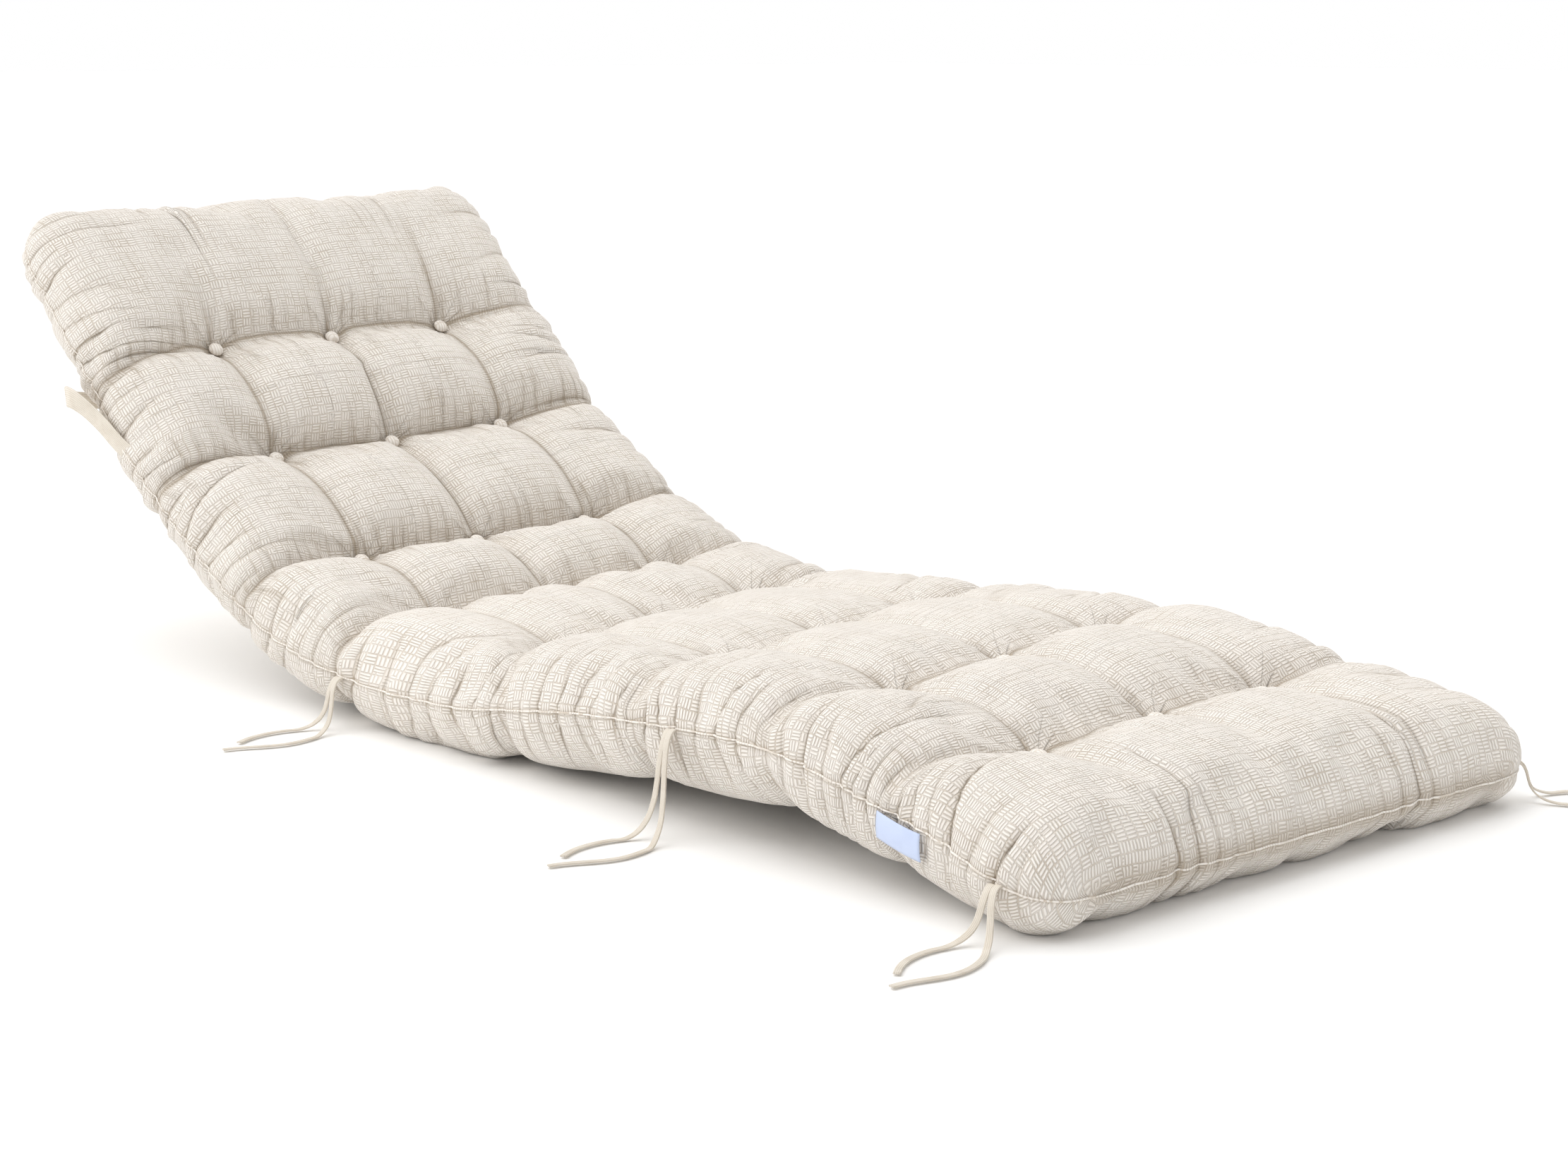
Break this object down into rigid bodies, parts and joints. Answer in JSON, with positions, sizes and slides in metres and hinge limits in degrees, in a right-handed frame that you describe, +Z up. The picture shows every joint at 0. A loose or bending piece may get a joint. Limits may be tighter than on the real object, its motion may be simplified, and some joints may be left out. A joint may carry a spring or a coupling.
{
  "type": "sun lounger cushion",
  "caption": "Long tufted lounger pad lying in an S, with raised back, covered buttons, sewn channels, side seam, tape ties and a strap behind the back",
  "frame": {"origin": "middle of the box of the pad, strap and patch on the surface that it rests on", "axes": "+X across the pad to its right side seen from the foot, +Y toward the head end, +Z up"},
  "size_m": [0.8755, 1.6182, 0.4676],
  "materials": {
    "fabric": "ivory linen-look woven fabric, matt, crosshatched weave",
    "tape": "cream woven tape with fine lengthwise ribs, matt",
    "patch": "plain pale blue woven patch, matt"
  },
  "bodies": {
    "root": {"cushion": "fabric", "button_r1_c1": "fabric", "button_r1_c2": "fabric", "button_r1_c3": "fabric", "button_r2_c1": "fabric", "button_r2_c2": "fabric", "button_r2_c3": "fabric", "button_r3_c1": "fabric", "button_r3_c2": "fabric", "button_r3_c3": "fabric", "button_r4_c1": "fabric", "button_r4_c2": "fabric", "button_r4_c3": "fabric", "button_r5_c1": "fabric", "button_r5_c2": "fabric", "button_r5_c3": "fabric", "button_r6_c1": "fabric", "button_r6_c2": "fabric", "button_r6_c3": "fabric", "button_r7_c1": "fabric", "button_r7_c2": "fabric", "button_r7_c3": "fabric", "button_r8_c1": "fabric", "button_r8_c2": "fabric", "button_r8_c3": "fabric", "tie_left_1_long": "tape", "tie_left_1_short": "tape", "tie_left_2_long": "tape", "tie_left_2_short": "tape", "tie_left_3_long": "tape", "tie_left_3_short": "tape", "tie_right_1_long": "tape", "tie_right_1_short": "tape", "tie_right_2_long": "tape", "tie_right_2_short": "tape", "tie_right_3_long": "tape", "tie_right_3_short": "tape", "back_strap": "tape", "side_patch": "patch"}
  },
  "joints": []
}
